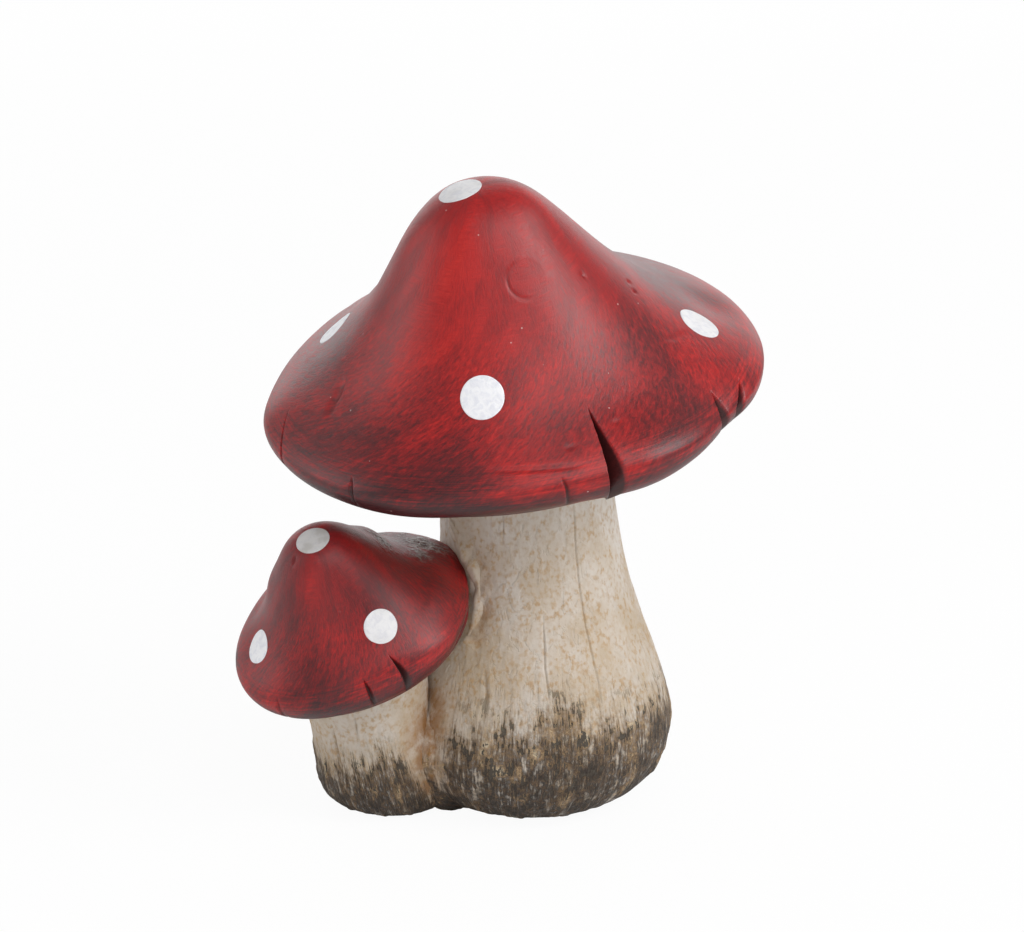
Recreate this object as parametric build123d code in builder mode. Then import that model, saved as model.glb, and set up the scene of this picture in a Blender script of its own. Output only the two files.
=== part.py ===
from build123d import *
import os
from dataclasses import dataclass
from math import cos, exp, hypot, pi, radians, sin, sqrt

# Ceramic mushroom ornament: a large and a small mushroom, each a hollow cap on a hollow stem.
# The four castings are luted together with slip, and white spots are inlaid in both caps.
# Millimetres, +Z up, front towards -Y, both feet on Z = 0.

# Castings
wall = 4.5
spigot_wall = 3.0
spigot_clearance = 0.3
spigot_stand = 2.0
underside_dish = 2.5
underside_land = 3.0
underside_pad = 2.0

# Large cap: a bell whose brim droops and ends in a rounded lip
large_cap_x = -1.9
large_cap_y = 1.7
large_cap_z = 96.3
large_cap_roll = 7.4
large_cap_pitch = 13.3
large_cap_radius = 56.8
large_cap_height = 54.2
large_cap_half_radius = 29.45
large_cap_steepness = 2.71
large_cap_brim_droop = 5.1
large_cap_lip_depth = 6.7
large_cap_lip_round = 8.4
large_cap_lean_x = -2.1
large_cap_lean_y = -5.0
large_cap_oval = 0.9
large_cap_oval_turn = 14.7
large_cap_wave = 1.6
large_cap_wave_turn = 94.0

# Large stem
large_foot_x = 1.7
large_foot_y = -5.6
large_foot_radius = 16.8
large_foot_opening = 11.0
large_belly_radius = 32.2
large_belly_height = 16.5
large_neck_radius = 19.7
large_stem_taper = 29.0
large_stem_bow = 2.2
large_spigot_radius = 13.5

# Small cap
small_cap_x = -38.7
small_cap_y = -25.0
small_cap_z = 49.7
small_cap_roll = 15.7
small_cap_pitch = 23.4
small_cap_radius = 27.5
small_cap_height = 27.6
small_cap_half_radius = 14.9
small_cap_steepness = 3.44
small_cap_brim_droop = 4.8
small_cap_lip_depth = 5.9
small_cap_lip_round = 4.6
small_cap_lean_x = -1.3
small_cap_lean_y = -2.6
small_cap_oval = 2.1
small_cap_oval_turn = 25.0
small_cap_wave = 1.2
small_cap_wave_turn = -74.0

# Small stem
small_foot_x = -30.4
small_foot_y = -12.9
small_foot_radius = 9.5
small_foot_opening = 6.0
small_belly_radius = 15.9
small_belly_height = 5.4
small_neck_radius = 14.3
small_stem_taper = 10.2
small_stem_bow = -1.5
small_spigot_radius = 9.0

# Slip that lutes the castings together
neck_lute_width = 3.0
neck_lute_height = 5.0
stem_lute_radius = 4.0
stem_lute_low = 2.0
stem_lute_high = 26.0
cap_lute_radius = 3.5
cap_lute_angles = (4, 16, 28, 40, 52, 60)

# Spots, each at a share of its cap's radius and an azimuth from the cap's X towards its Y
spot_depth = 1.2
large_spot_radius = 5.0
large_spots = {
    "top": (0.064, 170),
    "front": (0.644, 263.6),
    "right": (0.772, 358.8),
    "left": (0.736, 161.6),
    "back_right": (0.55, 52),
    "back": (0.79, 92),
    "back_left": (0.48, 128),
}
small_spot_radius = 3.9
small_spots = {
    "top": (0.02, 335),
    "front": (0.664, 305.6),
    "left": (0.764, 203.2),
    "edge": (0.62, 140),
    "back": (0.7, 96),
}

# A shallow round seat in the large cap that never got its spot
bare_seat_place = (0.368, 294.8)
bare_seat_radius = 4.2
bare_seat_depth = 0.4

# Rim splits: share of the radius and azimuth at the tip, azimuth at the lip and width there
split_depth = 3.5
large_splits = (
    (0.74, 296, 292.8, 4.2),
    (0.9, 332.4, 327.6, 2.8),
    (0.948, 342.4, 334.8, 2.8),
    (0.9, 193, 203, 2.0),
    (0.85, 71, 75, 3.2),
    (0.9, 139, 135, 2.4),
)
small_splits = (
    (0.86, 298.4, 299.2, 2.6),
    (0.92, 279.6, 279.6, 1.6),
    (0.82, 118, 121, 2.2),
)

# Fineness of the lofts, as places along the outlines
shoulder_power = 6
ring_points = 16
bell_stations = (
    0.06, 0.14, 0.23, 0.33, 0.43, 0.54, 0.65, 0.75, 0.84, 0.91, 0.96, 0.99,
    1, 1.2, 1.4, 1.6, 1.8,
)
cavity_stations = (0.1, 0.2, 0.3, 0.4, 0.5, 0.6, 0.7, 0.8, 0.9)
stem_stations = (0, 0.2, 0.4, 0.6, 0.8, 1, 1.15, 1.3, 1.45, 1.6, 1.8, 2)
lute_levels = 5
lip_lute_station = 1.0
past_the_face = 1.0


@dataclass
class Cap:
    """A bell round the Z axis of its own plane."""

    plane: Plane
    radius: float
    height: float
    half_radius: float
    steepness: float
    brim_droop: float
    lip_depth: float
    lip_round: float
    lean: tuple
    oval: float
    oval_turn: float
    wave: float
    wave_turn: float
    neck_radius: float
    spigot_radius: float


@dataclass
class Stem:
    """A bulging column from its foot up to the plane that its cap sits on."""

    foot: tuple
    seat: Plane
    foot_radius: float
    foot_opening: float
    belly_radius: float
    belly_height: float
    neck_radius: float
    taper: float
    bow: float
    spigot_radius: float


def tilted_plane(x, y, z, roll, pitch):
    """Plane of a cap: rolled so that its right side rises, then pitched towards the front."""
    return Plane(Pos(x, y, z) * Rot(X=pitch) * Rot(Y=-roll))


def bell_height(cap, radius):
    """Height of the outer face at a radius from the axis; it turns upright at the brim's edge."""
    bell = cap.height / (1 + (radius / cap.half_radius) ** cap.steepness)
    upright = sqrt(1 - (radius / cap.radius) ** shoulder_power)
    return bell - cap.brim_droop * (1 - upright)


def cap_outline(cap, station):
    """Radius and height on the outer face: station 0 at the apex, 1 at the widest, 2 under the lip."""
    if station <= 1:
        radius = cap.radius * station
        return radius, bell_height(cap, radius)
    turn = (station - 1) * pi / 2
    radius = cap.radius - cap.lip_round * (1 - cos(turn))
    height = bell_height(cap, cap.radius) - cap.lip_depth * sin(turn)
    return radius, height


def outline_normal(outline, piece, station):
    """Direction to the left of an outline as it runs, out of a cap and into a stem."""
    step = 0.005
    before = outline(piece, max(station - step, 0))
    after = outline(piece, min(station + step, 2))
    along_radius = after[0] - before[0]
    along_height = after[1] - before[1]
    length = hypot(along_radius, along_height)
    return -along_height / length, along_radius / length


def cap_point(cap, radius, height, angle, wave_share=1):
    """Point in the cap's plane, with the bell's lean and the brim's oval and waves."""
    share = radius / cap.radius
    reach = radius + cap.oval * share**3 * cos(2 * (angle - radians(cap.oval_turn)))
    lift = cap.wave * share**2 * cos(2 * (angle - radians(cap.wave_turn)))
    x = reach * cos(angle) + (1 - share) * cap.lean[0]
    y = reach * sin(angle) + (1 - share) * cap.lean[1]
    return x, y, height + wave_share * lift


def cap_ring(cap, radius, height, wave_share=1):
    """Closed curve round the cap at one radius and height of its outline."""
    angles = [2 * pi * step / ring_points for step in range(ring_points)]
    with BuildLine(cap.plane) as line:
        Spline(*[cap_point(cap, radius, height, angle, wave_share) for angle in angles], periodic=True)
    return line.wire()


def cap_apex(cap, inset=0):
    """Top of the bell, or of a bell that lies inside it."""
    return Vertex(*cap.plane.from_local_coords((*cap.lean, cap.height - inset)))


def bell(cap):
    """Whole outside of a cap, closed flat under its lip."""
    rings = [cap_ring(cap, *cap_outline(cap, station)) for station in bell_stations]
    rings.append(cap_ring(cap, *cap_outline(cap, 2), wave_share=0))
    return Solid.make_loft([cap_apex(cap), *rings])


def underside(cap):
    """Plane under the lip."""
    return cap.plane.offset(cap_outline(cap, 2)[1])


def seat(cap):
    """Plane inside the dished underside, where the stem's shoulder meets the cap."""
    return underside(cap).offset(underside_dish)


def cap_cavity(cap):
    """Hollow that follows the bell a wall's thickness inside it and ends in a flat floor."""
    rings = []
    for station in cavity_stations:
        radius, height = cap_outline(cap, station)
        out, up = outline_normal(cap_outline, cap, station)
        rings.append(cap_ring(cap, radius - wall * out, height - wall * up))
    skirt_radius = radius - wall * out
    skirt_height = cap_outline(cap, 2)[1] - cap.wave
    rings.append(cap_ring(cap, skirt_radius, skirt_height, wave_share=0))
    with BuildPart() as cavity:
        add(Solid.make_loft([cap_apex(cap, wall), *rings], ruled=True))
        split(bisect_by=seat(cap).offset(wall), keep=Keep.TOP)
    return cavity.part


def face_plane(cap, share, azimuth):
    """Plane on the outer face of a cap, with its Z pointing out of the face."""
    angle = radians(azimuth)
    radius = share * cap.radius
    out, up = outline_normal(cap_outline, cap, share)
    point = Vector(*cap_point(cap, radius, bell_height(cap, radius), angle))
    tip = point + Vector(out * cos(angle), out * sin(angle), up)
    origin = cap.plane.from_local_coords(point)
    return Plane(origin=origin, z_dir=cap.plane.from_local_coords(tip) - origin)


def round_plug(plane, radius, depth):
    """Short cylinder that reaches a depth into a face and stands out of it."""
    with BuildPart() as plug:
        with BuildSketch(plane.offset(-depth)):
            Circle(radius)
        extrude(amount=depth + 2 * radius)
    return plug.part


def rim_split(cap, tip_share, tip_azimuth, lip_azimuth, width):
    """Wedge that starts as a point on the brim, and widens and deepens out to the lip."""
    tip_radius = tip_share * cap.radius
    tip = cap_point(cap, tip_radius, bell_height(cap, tip_radius), radians(tip_azimuth))
    angle = radians(lip_azimuth)
    x, y, z = cap_point(cap, cap.radius + past_the_face, bell_height(cap, cap.radius), angle)
    top = tip[2] + past_the_face
    bottom = z - split_depth
    half_width = width / 2 * (top - bottom) / split_depth
    across_x = half_width * sin(angle)
    across_y = half_width * cos(angle)
    with BuildLine(cap.plane) as mouth:
        Polyline(
            (x - across_x, y + across_y, top),
            (x + across_x, y - across_y, top),
            (x, y, bottom),
            close=True,
        )
    return Solid.make_loft([Vertex(*cap.plane.from_local_coords(tip)), mouth.wire()], ruled=True)


def cap_casting(cap, outside, cavity, splits, plugs):
    """Hollow cap with a dished underside, a hole for the stem's spigot, rim splits and spot seats."""
    lip_edge = cap.radius - cap.lip_round - underside_land
    pad_radius = cap.neck_radius + neck_lute_width + underside_pad
    wedges = [rim_split(cap, *rim) for rim in splits]
    with BuildPart() as casting:
        add(outside)
        with BuildSketch(underside(cap)):
            Circle(lip_edge)
        with BuildSketch(seat(cap)):
            Circle(pad_radius)
        loft(mode=Mode.SUBTRACT)
        with BuildSketch(underside(cap)):
            Circle(cap.spigot_radius + spigot_clearance)
        extrude(amount=underside_dish + wall + past_the_face, mode=Mode.SUBTRACT)
        add([cavity, *wedges, *plugs], mode=Mode.SUBTRACT)
    return casting.part


def stem_top(stem):
    """Height that clears the tilted seat all round the neck."""
    tilt = hypot(stem.seat.z_dir.X, stem.seat.z_dir.Y) / stem.seat.z_dir.Z
    return stem.seat.origin.Z + (stem.neck_radius + wall) * tilt + wall


def stem_outline(stem, station):
    """Radius and height: station 0 at the foot, 1 at the belly, 2 at the top."""
    if station <= 1:
        turn = station * pi / 2
        radius = stem.foot_radius + (stem.belly_radius - stem.foot_radius) * sin(turn)
        return radius, stem.belly_height * (1 - cos(turn))
    rise = (station - 1) * (stem_top(stem) - stem.belly_height)
    swell = (stem.belly_radius - stem.neck_radius) * exp(-((rise / stem.taper) ** 2))
    return stem.neck_radius + swell, stem.belly_height + rise


def stem_centre(stem, height):
    """Centre of the stem at a height, on a bowed line from the foot to the seat."""
    share = height / stem.seat.origin.Z
    x = stem.foot[0] + share * (stem.seat.origin.X - stem.foot[0]) + 4 * stem.bow * share * (1 - share)
    y = stem.foot[1] + share * (stem.seat.origin.Y - stem.foot[1])
    return x, y


def stem_radius(stem, height):
    """Radius of the outer face at a height."""
    if height < stem.belly_height:
        drop = 1 - height / stem.belly_height
        return stem.foot_radius + (stem.belly_radius - stem.foot_radius) * sqrt(1 - drop**2)
    rise = height - stem.belly_height
    return stem.neck_radius + (stem.belly_radius - stem.neck_radius) * exp(-((rise / stem.taper) ** 2))


def stem_body(stem, grow=0):
    """Solid stem up to its seat, or one that stands a little outside it."""
    with BuildPart() as body:
        for station in stem_stations:
            radius, height = stem_outline(stem, station)
            with BuildSketch(Plane.XY.offset(height)):
                with Locations(stem_centre(stem, height)):
                    Circle(radius + grow)
        loft()
        if not grow:
            split(bisect_by=stem.seat, keep=Keep.BOTTOM)
    return body.part


def stem_core(stem):
    """Hollow that follows the stem a wall's thickness inside it, up to its shoulder."""
    with BuildPart() as core:
        for station in stem_stations:
            radius, height = stem_outline(stem, station)
            inward, upward = outline_normal(stem_outline, stem, station)
            inner_height = height + wall * upward
            with BuildSketch(Plane.XY.offset(inner_height)):
                with Locations(stem_centre(stem, inner_height)):
                    Circle(radius + wall * inward)
        loft(ruled=True)
        split(bisect_by=stem.seat.offset(-wall), keep=Keep.BOTTOM)
    return core.part


def stem_casting(stem, body, core):
    """Hollow stem, open at the foot, with a bored spigot that enters its cap."""
    spigot_height = wall + spigot_stand
    with BuildPart() as casting:
        add(body)
        with BuildSketch(stem.seat):
            Circle(stem.spigot_radius)
        extrude(amount=spigot_height)
        add(core, mode=Mode.SUBTRACT)
        with BuildSketch(stem.seat.offset(-wall - past_the_face)):
            Circle(stem.spigot_radius - spigot_wall)
        extrude(amount=wall + past_the_face + spigot_height, mode=Mode.SUBTRACT)
        with BuildSketch():
            with Locations(stem.foot):
                Circle(stem.foot_opening)
        extrude(amount=wall + past_the_face, mode=Mode.SUBTRACT)
    return casting.part


def neck_lute(stem, body):
    """Fillet of slip round the neck, under the cap."""
    with BuildPart() as lute:
        with BuildSketch(stem.seat):
            Circle(stem.neck_radius + neck_lute_width)
        with BuildSketch(stem.seat.offset(-neck_lute_height)):
            Circle(stem.neck_radius - neck_lute_width / 2)
        loft()
        add(body, mode=Mode.SUBTRACT)
    return lute.part


def valley_point(one, other, height, side):
    """Where two stems' outlines cross at a height, on the front (side 1) or the back (side -1)."""
    one_x, one_y = stem_centre(one, height)
    other_x, other_y = stem_centre(other, height)
    gap = hypot(other_x - one_x, other_y - one_y)
    along_x = (other_x - one_x) / gap
    along_y = (other_y - one_y) / gap
    reach = stem_radius(one, height)
    along = (reach**2 - stem_radius(other, height) ** 2 + gap**2) / (2 * gap)
    across = side * sqrt(max(reach**2 - along**2, 0))
    return one_x + along * along_x - across * along_y, one_y + along * along_y + across * along_x


def valley_lute(one, other, side, bodies):
    """Bead of slip in the valley between two stems."""
    with BuildPart() as lute:
        for level in range(lute_levels):
            height = stem_lute_low + (stem_lute_high - stem_lute_low) * level / (lute_levels - 1)
            with BuildSketch(Plane.XY.offset(height)):
                with Locations(valley_point(one, other, height, side)):
                    Circle(stem_lute_radius)
        loft()
        add(bodies, mode=Mode.SUBTRACT)
    return lute.part


def lip_lute_centre(cap, stem, azimuth):
    """Point midway between a cap's lip and another mushroom's stem."""
    lip = cap.plane.from_local_coords(cap_point(cap, *cap_outline(cap, lip_lute_station), radians(azimuth)))
    centre_x, centre_y = stem_centre(stem, lip.Z)
    away = hypot(lip.X - centre_x, lip.Y - centre_y)
    share = (away + stem_radius(stem, lip.Z)) / (2 * away)
    return Vector(centre_x + share * (lip.X - centre_x), centre_y + share * (lip.Y - centre_y), lip.Z)


def lip_lute(cap, stem, bodies):
    """Roll of slip along the lip of a cap, where it leans on another mushroom's stem."""
    centres = [lip_lute_centre(cap, stem, azimuth) for azimuth in cap_lute_angles]
    before = [centres[0], *centres[:-1]]
    after = [*centres[1:], centres[-1]]
    with BuildPart() as lute:
        for centre, behind, ahead in zip(centres, before, after):
            with BuildSketch(Plane(origin=centre, z_dir=ahead - behind)):
                Circle(cap_lute_radius)
        loft()
        add(bodies, mode=Mode.SUBTRACT)
    return lute.part


def spot(plug, outside):
    """White disc that fills its seat and follows the face of the cap."""
    with BuildPart() as disc:
        add(plug)
        add(outside, mode=Mode.INTERSECT)
    return disc.part


# The two mushrooms
large = Cap(
    plane=tilted_plane(large_cap_x, large_cap_y, large_cap_z, large_cap_roll, large_cap_pitch),
    radius=large_cap_radius,
    height=large_cap_height,
    half_radius=large_cap_half_radius,
    steepness=large_cap_steepness,
    brim_droop=large_cap_brim_droop,
    lip_depth=large_cap_lip_depth,
    lip_round=large_cap_lip_round,
    lean=(large_cap_lean_x, large_cap_lean_y),
    oval=large_cap_oval,
    oval_turn=large_cap_oval_turn,
    wave=large_cap_wave,
    wave_turn=large_cap_wave_turn,
    neck_radius=large_neck_radius,
    spigot_radius=large_spigot_radius,
)
small = Cap(
    plane=tilted_plane(small_cap_x, small_cap_y, small_cap_z, small_cap_roll, small_cap_pitch),
    radius=small_cap_radius,
    height=small_cap_height,
    half_radius=small_cap_half_radius,
    steepness=small_cap_steepness,
    brim_droop=small_cap_brim_droop,
    lip_depth=small_cap_lip_depth,
    lip_round=small_cap_lip_round,
    lean=(small_cap_lean_x, small_cap_lean_y),
    oval=small_cap_oval,
    oval_turn=small_cap_oval_turn,
    wave=small_cap_wave,
    wave_turn=small_cap_wave_turn,
    neck_radius=small_neck_radius,
    spigot_radius=small_spigot_radius,
)
large_column = Stem(
    foot=(large_foot_x, large_foot_y),
    seat=seat(large),
    foot_radius=large_foot_radius,
    foot_opening=large_foot_opening,
    belly_radius=large_belly_radius,
    belly_height=large_belly_height,
    neck_radius=large_neck_radius,
    taper=large_stem_taper,
    bow=large_stem_bow,
    spigot_radius=large_spigot_radius,
)
small_column = Stem(
    foot=(small_foot_x, small_foot_y),
    seat=seat(small),
    foot_radius=small_foot_radius,
    foot_opening=small_foot_opening,
    belly_radius=small_belly_radius,
    belly_height=small_belly_height,
    neck_radius=small_neck_radius,
    taper=small_stem_taper,
    bow=small_stem_bow,
    spigot_radius=small_spigot_radius,
)

# Outsides: the small mushroom gives way to the large stem where they meet
large_bell = bell(large)
large_body = stem_body(large_column)
large_keep_out = stem_body(large_column, grow=wall)
with BuildPart() as small_bell:
    add(bell(small))
    add(large_body, mode=Mode.SUBTRACT)
with BuildPart() as small_body:
    add(stem_body(small_column))
    add(large_body, mode=Mode.SUBTRACT)

# Hollows
with BuildPart() as small_cavity:
    add(cap_cavity(small))
    add(large_keep_out, mode=Mode.SUBTRACT)
with BuildPart() as small_core:
    add(stem_core(small_column))
    add(large_keep_out, mode=Mode.SUBTRACT)

# Spot seats
large_plugs = {
    name: round_plug(face_plane(large, *place), large_spot_radius, spot_depth)
    for name, place in large_spots.items()
}
small_plugs = {
    name: round_plug(face_plane(small, *place), small_spot_radius, spot_depth)
    for name, place in small_spots.items()
}
bare_seat = round_plug(face_plane(large, *bare_seat_place), bare_seat_radius, bare_seat_depth)

# Pieces
both_bodies = (large_body, small_body.part)
pieces = {
    "large_stem": stem_casting(large_column, large_body, stem_core(large_column)),
    "large_cap": cap_casting(
        large, large_bell, cap_cavity(large), large_splits, [*large_plugs.values(), bare_seat]
    ),
    "small_stem": stem_casting(small_column, small_body.part, small_core.part),
    "small_cap": cap_casting(
        small, small_bell.part, small_cavity.part, small_splits, small_plugs.values()
    ),
    "large_neck_lute": neck_lute(large_column, large_body),
    "small_neck_lute": neck_lute(small_column, small_body.part),
    "front_stem_lute": valley_lute(large_column, small_column, 1, both_bodies),
    "back_stem_lute": valley_lute(large_column, small_column, -1, both_bodies),
    "cap_lute": lip_lute(small, large_column, (large_body, small_bell.part)),
}
for name, plug in large_plugs.items():
    pieces[f"large_cap_spot_{name}"] = spot(plug, large_bell)
for name, plug in small_plugs.items():
    pieces[f"small_cap_spot_{name}"] = spot(plug, small_bell.part)

# The origin is under the middle of the whole ornament, on the surface that it stands on
middle = Compound(list(pieces.values())).bounding_box().center()
to_origin = Pos(-middle.X, -middle.Y, 0)
os.makedirs("parts", exist_ok=True)
for name, piece in pieces.items():
    placed = to_origin * piece
    placed.label = name
    export_step(placed, f"parts/{name}.step")
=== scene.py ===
from dataclasses import dataclass
from itertools import product
from math import radians

import bpy
import numpy as np
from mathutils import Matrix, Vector


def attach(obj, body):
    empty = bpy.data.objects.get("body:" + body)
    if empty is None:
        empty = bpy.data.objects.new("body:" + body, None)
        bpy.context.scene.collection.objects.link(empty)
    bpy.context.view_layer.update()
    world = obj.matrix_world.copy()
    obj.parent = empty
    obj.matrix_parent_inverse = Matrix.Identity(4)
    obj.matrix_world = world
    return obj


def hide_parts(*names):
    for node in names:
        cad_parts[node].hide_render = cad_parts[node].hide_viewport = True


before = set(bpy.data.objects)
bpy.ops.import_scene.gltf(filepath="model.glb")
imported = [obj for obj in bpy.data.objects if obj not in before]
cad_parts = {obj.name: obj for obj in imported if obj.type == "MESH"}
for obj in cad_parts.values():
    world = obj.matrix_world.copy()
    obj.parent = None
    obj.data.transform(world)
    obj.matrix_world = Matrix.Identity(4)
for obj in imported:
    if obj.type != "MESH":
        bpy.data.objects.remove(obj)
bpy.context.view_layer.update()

# Sizes are in millimetres and angles in degrees; places are moved to the part's own origin
millimetre = 0.001
origin_move = np.array([5.366, -0.795, 0.0])

# Castings
wall = 4.5
spigot_wall = 3.0
spigot_clearance = 0.3
spigot_stand = 2.0
underside_dish = 2.5
underside_land = 3.0
underside_pad = 2.0
shoulder_power = 6
# Shares of a cap's radius at which its hollow follows the dome
dome_shares = (0.9, 0.8, 0.7, 0.55, 0.4, 0.25, 0.12)
# Gap between a casting and the stem that it leans on
neighbour_gap = 0.05

# Slip
neck_lute_width = 3.0
neck_lute_height = 5.0
stem_lute_heights = (2.0, 26.0)
slip_lump_size = 5.0
# Beads in the valleys between the stems, from below: radius, and how far the middle is sunk in
valley_radii = (5.0, 6.5, 6.5, 6.0, 5.0, 2.0)
valley_sinks = (6.2, 5.0, 4.5, 4.2, 3.8, 2.4)
# Spread of the brown stain and painted shade along the valleys
valley_stain_and_shade_spread = 6.0
# Slip smeared down the large stem beside the small cap: azimuth and height, then radius
slip_course = (
    (206, 74.5, 0.7),
    (209, 70.5, 1.6),
    (216.5, 66.4, 2.0),
    (226.5, 61.8, 2.2),
    (235, 56.0, 2.1),
    (237, 51.8, 1.9),
    (235.5, 47.0, 1.6),
    (233, 43.5, 0.7),
)
slip_course_power = 4
slip_stand = 0.2
slip_ridge_spread = 2.3
slip_ridge_stand = 1.8
slip_ridge_lump_size = 3.2
# Brown stain and painted shade beside the slip: how far it lies to one side of the slip's line, and its
# spread
slip_stain_and_shade_shift = 2.7
slip_stain_and_shade_spread = 1.9

# Spots
spot_stand = 0.12
spot_skirt = 0.6
spot_bevel = 0.05
spot_seat_depth = 0.45

# Rim splits: shares of the half width under the two walls, and of the depth at the sunken shoulders
steep_wall_share = 0.4
slant_wall_share = 1.6
split_shoulder = 0.14
least_split_half = 0.12
# Direction of the cut, towards the axis and down
split_inward = 0.75
split_downward = 0.66

# The bare round seat, with painted shade darkening its groove; pits and worn clay
bare_seat_radius = 4.2
bare_seat_groove = 0.26
bare_seat_width = 0.4
bare_seat_sink = 0.1
bare_seat_shade = 3.5
pit_radius = 0.55
pit_depth = 0.4
worn_depth = 0.45
worn_patch_size = 5.0
worn_relief_size = 3.5

# Hand-finished faces of the caps
least_sink = 0.02
broad_wave_size = 22
broad_wave_depth = 0.12
fine_wave_size = 4.5
fine_wave_depth = 0.06

# Faces of the stems; lumps of noise above the knot level stand out, by no more than the swell
bark_size = 1.9
bark_squeeze = np.array([1, 1, 0.16])
knot_size = 2.8
knot_squeeze = np.array([1, 1, 0.7])
knot_level = 0.12
stem_wave_size = 20
stem_swell = 0.55
# Cracks fade out over these lengths inside and beyond their ends; a low burr runs beside them
crack_fade = 5
crack_overrun = 2
crack_burr = 0.2
crack_burr_shift = 2.2

# Paint follows places on cylinders of these radii; slanted strokes turn by a radian over this length
cap_paint_radius = 30
stem_paint_radius = 24
stroke_slant = 55
# What the paint reads inside the castings
inside_station = 3.0
inside_height = 60.0
# Depth of the fine relief in the paint, in metres
enamel_relief = 0.00012
clay_relief = 0.0004

# Fineness of the meshes
row_step = 0.46
spot_columns = 96
spot_rows = 24
tube_columns = 56
tube_rows = 110
neck_columns = 200
hollow_rows = 9
valley_points = 12
slip_points = 40
solver_rounds = 12
spot_rounds = 8

# Noise
seeds = {
    "broad waves": 11,
    "fine waves": 18,
    "bark": 31,
    "knots": 41,
    "stem waves": 51,
    "slip ridge": 61,
    "neck slip": 71,
    "valley slip": 81,
    "cap slip": 91,
    "worn relief": 101,
    "worn edge": 106,
}
hash_steps = np.array([374761393, 668265263, 2147483647])
hash_mix = 1274126177


@dataclass
class Cap:
    """A bell round the Z axis of its own frame, with what is worked into its face."""

    name: str
    columns: int
    place: tuple
    roll: float
    pitch: float
    radius: float
    height: float
    half_radius: float
    steepness: float
    brim_droop: float
    lip_depth: float
    lip_round: float
    lean: tuple
    oval: float
    oval_turn: float
    wave: float
    wave_turn: float
    neck_radius: float
    spigot_radius: float
    spot_radius: float
    spot_seed: int
    # Spots: share of the cap's radius, azimuth, and how far the white is greyed: painted shade on spots that
    # catch less light, on the small cap's top spot partly a smudge
    spots: dict
    # Rim splits: share and azimuth of the tip, azimuth at the lip, width and depth there
    splits: tuple
    # Hand-pressed lips: azimuth and spread, and how far the lip stands out or in
    presses: tuple
    # Hand-shaped lumps and hollows: share, azimuth, spread and height
    lumps: tuple
    # Creases on the face: share and azimuth of both ends, width and depth
    creases: tuple
    # Pits and bare round seats: share and azimuth
    pits: tuple
    bare_seats: tuple
    # Brush patches and painted shade: share, azimuth, spread and strength; a negative strength is darker. The
    # brighter ones are brush strokes; the darker ones are partly darker paint and partly painted shade at the
    # lips, on the back and side flanks and over the small cap's front
    bright: tuple
    # Places where the paint is thin and the clay shows: share, azimuth and spread
    worn: tuple


@dataclass
class Stem:
    """A bulging column from its foot up to the seat of its cap."""

    cap: Cap
    columns: int
    foot: tuple
    foot_radius: float
    foot_opening: float
    belly_radius: float
    belly_height: float
    taper: float
    bow: float
    # Height of the dark foot, as a share of the large stem's
    dark_share: float
    # Cracks: azimuth and height of points along each, then width and depth
    cracks: tuple


large = Cap(
    name="large",
    columns=470,
    place=(-1.9, 1.7, 96.3),
    roll=7.4,
    pitch=13.3,
    radius=56.8,
    height=54.2,
    half_radius=29.45,
    steepness=2.71,
    brim_droop=5.1,
    lip_depth=6.7,
    lip_round=8.4,
    lean=(-2.1, -5.0),
    oval=0.9,
    oval_turn=14.7,
    wave=1.6,
    wave_turn=94.0,
    neck_radius=19.7,
    spigot_radius=13.5,
    spot_radius=5.0,
    spot_seed=0,
    spots={
        "top": (0.064, 170, 0.35),
        "front": (0.644, 263.6, 0.0),
        "right": (0.772, 358.8, 0.3),
        "left": (0.736, 161.6, 0.0),
        "back_right": (0.55, 52, 0.0),
        "back": (0.79, 92, 0.0),
        "back_left": (0.48, 128, 0.0),
    },
    splits=(
        (0.74, 296, 292.8, 3.5, 4.0),
        (0.9, 332.4, 327.6, 3.7, 3.1),
        (0.945, 342.4, 334.8, 3.6, 3.3),
        (0.9, 193, 203, 1.2, 0.6),
        (0.97, 281.4, 282, 1.4, 1.0),
        (0.96, 230, 230.4, 1.5, 0.9),
        (0.85, 71, 75, 3.2, 2.8),
        (0.9, 139, 135, 2.4, 2.2),
    ),
    presses=((304, 13, 1.3), (241, 14, 0.4), (188, 12, 1.0), (331, 9, -1.2)),
    lumps=(
        (0.2, 350, 7.0, 0.8),
        (0.3, 195, 9.0, 0.8),
        (0.5, 160, 6.0, -0.5),
        (0.85, 15, 8.0, -0.9),
    ),
    creases=(
        (0.664, 203.2, 0.828, 209.2, 0.9, 0.75),
        (0.9, 262, 0.955, 291, 0.5, 0.3),
        (0.69, 338, 0.74, 352, 0.6, 0.25),
    ),
    pits=((0.529, 357.2), (0.55, 353), (0.42, 331), (0.87, 286), (0.83, 301)),
    bare_seats=((0.368, 294.8),),
    # Darker patches at the lip, on the back brim and on the side flanks are partly painted shade
    bright=(
        (0.3, 248, 9, 0.45), (0.48, 252, 10, 0.3),
        (0.85, 268, 9, 0.15), (0.95, 272, 5, 0.25),
        (0.98, 258, 10, -0.65), (0.98, 237, 13, -0.55),
        (0.94, 213, 15, -0.45), (0.72, 214, 12, 0.1),
        (0.95, 308, 8, -0.35), (0.72, 320, 12, -0.15),
        (0.62, 330, 9, -0.3), (0.92, 320, 9, -0.4),
        (0.74, 281, 9, -0.1), (0.7, 60, 26, -0.5),
        (0.7, 20, 12, -0.45), (0.68, 178, 14, -0.45),
    ),
    worn=((0.97, 75, 5),),
)
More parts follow.
